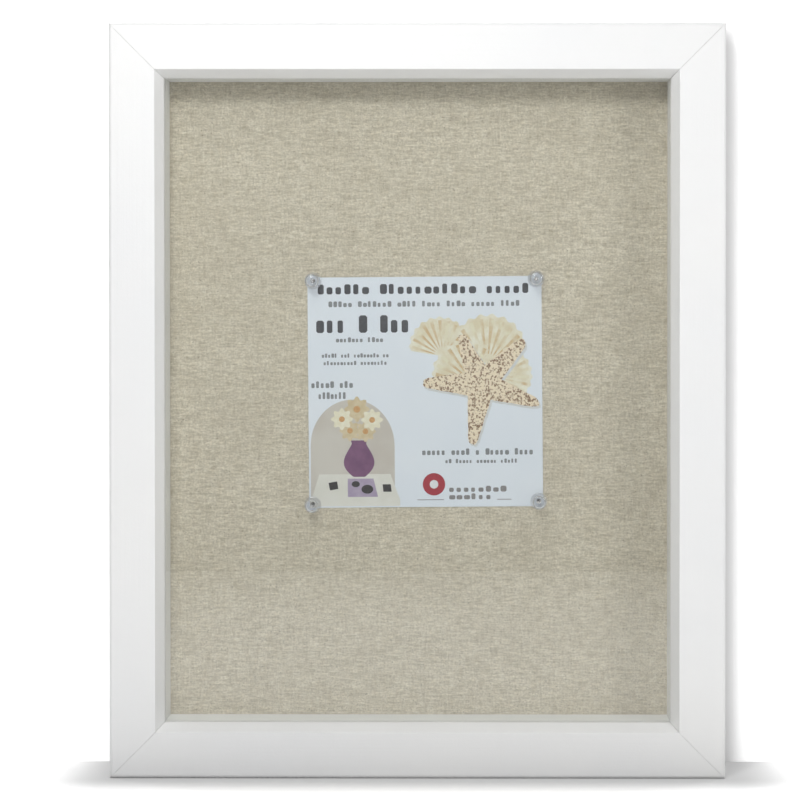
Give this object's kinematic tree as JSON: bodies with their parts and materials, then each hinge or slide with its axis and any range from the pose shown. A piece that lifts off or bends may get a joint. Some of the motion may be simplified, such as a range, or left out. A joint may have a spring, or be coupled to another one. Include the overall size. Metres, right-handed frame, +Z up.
{
  "type": "shadow box",
  "caption": "White bevelled shadow box with a glazed front door on side hinges, a deep cavity and a linen-covered cork board that takes push pins.",
  "frame": {"origin": "middle of the bottom face of the box, which it stands on, halfway through its depth", "axes": "+X to the right seen from the front, the glazed front faces -Y, +Z up"},
  "size_m": [0.3399, 0.0546, 0.4146],
  "materials": {
    "painted_wood": "white satin paint",
    "strip_wood": "white satin paint",
    "window_glass": "clear float glass, polished",
    "linen": "natural plain-weave linen, matt",
    "cork": "agglomerated cork, matt",
    "hardboard": "brown hardboard, satin face",
    "card_paper": "coated printed paper, semi-matt",
    "clear_acrylic": "clear moulded acrylic, polished",
    "needle_steel": "bright steel",
    "nail_steel": "zinc-plated steel",
    "screw_steel": "brass-plated steel, satin",
    "hinge_brass": "brass, satin",
    "magnet_plating": "nickel plating, bright",
    "hanger_steel": "yellow-passivated steel",
    "bumper_rubber": "clear soft rubber, semi-matt"
  },
  "bodies": {
    "box": {"box_rail_top": "painted_wood", "box_rail_right": "painted_wood", "box_rail_bottom": "painted_wood", "box_rail_left": "painted_wood", "box_corner_nails": "nail_steel", "box_hinge_leaf_upper": "hinge_brass", "box_hinge_leaf_lower": "hinge_brass", "hinge_pin_upper": "hinge_brass", "hinge_pin_lower": "hinge_brass", "box_hinge_screws": "screw_steel", "box_magnets": "magnet_plating", "linen_cover": "linen", "cork_core": "cork", "back_panel": "hardboard", "panel_points": "nail_steel", "hanger_upright": "hanger_steel", "hanger_sideways": "hanger_steel", "hanger_nails": "nail_steel", "wall_bumpers": "bumper_rubber", "insert_card": "card_paper"},
    "door": {"door_rail_top": "painted_wood", "door_rail_right": "painted_wood", "door_rail_bottom": "painted_wood", "door_rail_left": "painted_wood", "glass_pane": "window_glass", "glazing_strip_top": "strip_wood", "glazing_strip_right": "strip_wood", "glazing_strip_bottom": "strip_wood", "glazing_strip_left": "strip_wood", "door_corner_nails": "nail_steel", "door_hinge_leaf_upper": "hinge_brass", "door_hinge_leaf_lower": "hinge_brass", "door_hinge_screws": "screw_steel", "door_magnets": "magnet_plating"},
    "push_pin_top_left": {"push_pin_head_top_left": "clear_acrylic", "push_pin_needle_top_left": "needle_steel"},
    "push_pin_top_right": {"push_pin_head_top_right": "clear_acrylic", "push_pin_needle_top_right": "needle_steel"},
    "push_pin_bottom_left": {"push_pin_head_bottom_left": "clear_acrylic", "push_pin_needle_bottom_left": "needle_steel"},
    "push_pin_bottom_right": {"push_pin_head_bottom_right": "clear_acrylic", "push_pin_needle_bottom_right": "needle_steel"}
  },
  "joints": [
    {"name": "door_hinge", "type": "hinge", "parent": "box", "child": "door", "pos_m": [-0.1693, -0.00875, 0.2073], "axis": [0, 0, -1], "range_deg": [0, 175]},
    {"name": "push_pin_top_left_pull", "type": "slide", "parent": "box", "child": "push_pin_top_left", "axis": [0, -1, 0], "range_m": [0, 0.011]},
    {"name": "push_pin_top_right_pull", "type": "slide", "parent": "box", "child": "push_pin_top_right", "axis": [0, -1, 0], "range_m": [0, 0.011]},
    {"name": "push_pin_bottom_left_pull", "type": "slide", "parent": "box", "child": "push_pin_bottom_left", "axis": [0, -1, 0], "range_m": [0, 0.011]},
    {"name": "push_pin_bottom_right_pull", "type": "slide", "parent": "box", "child": "push_pin_bottom_right", "axis": [0, -1, 0], "range_m": [0, 0.011]}
  ]
}
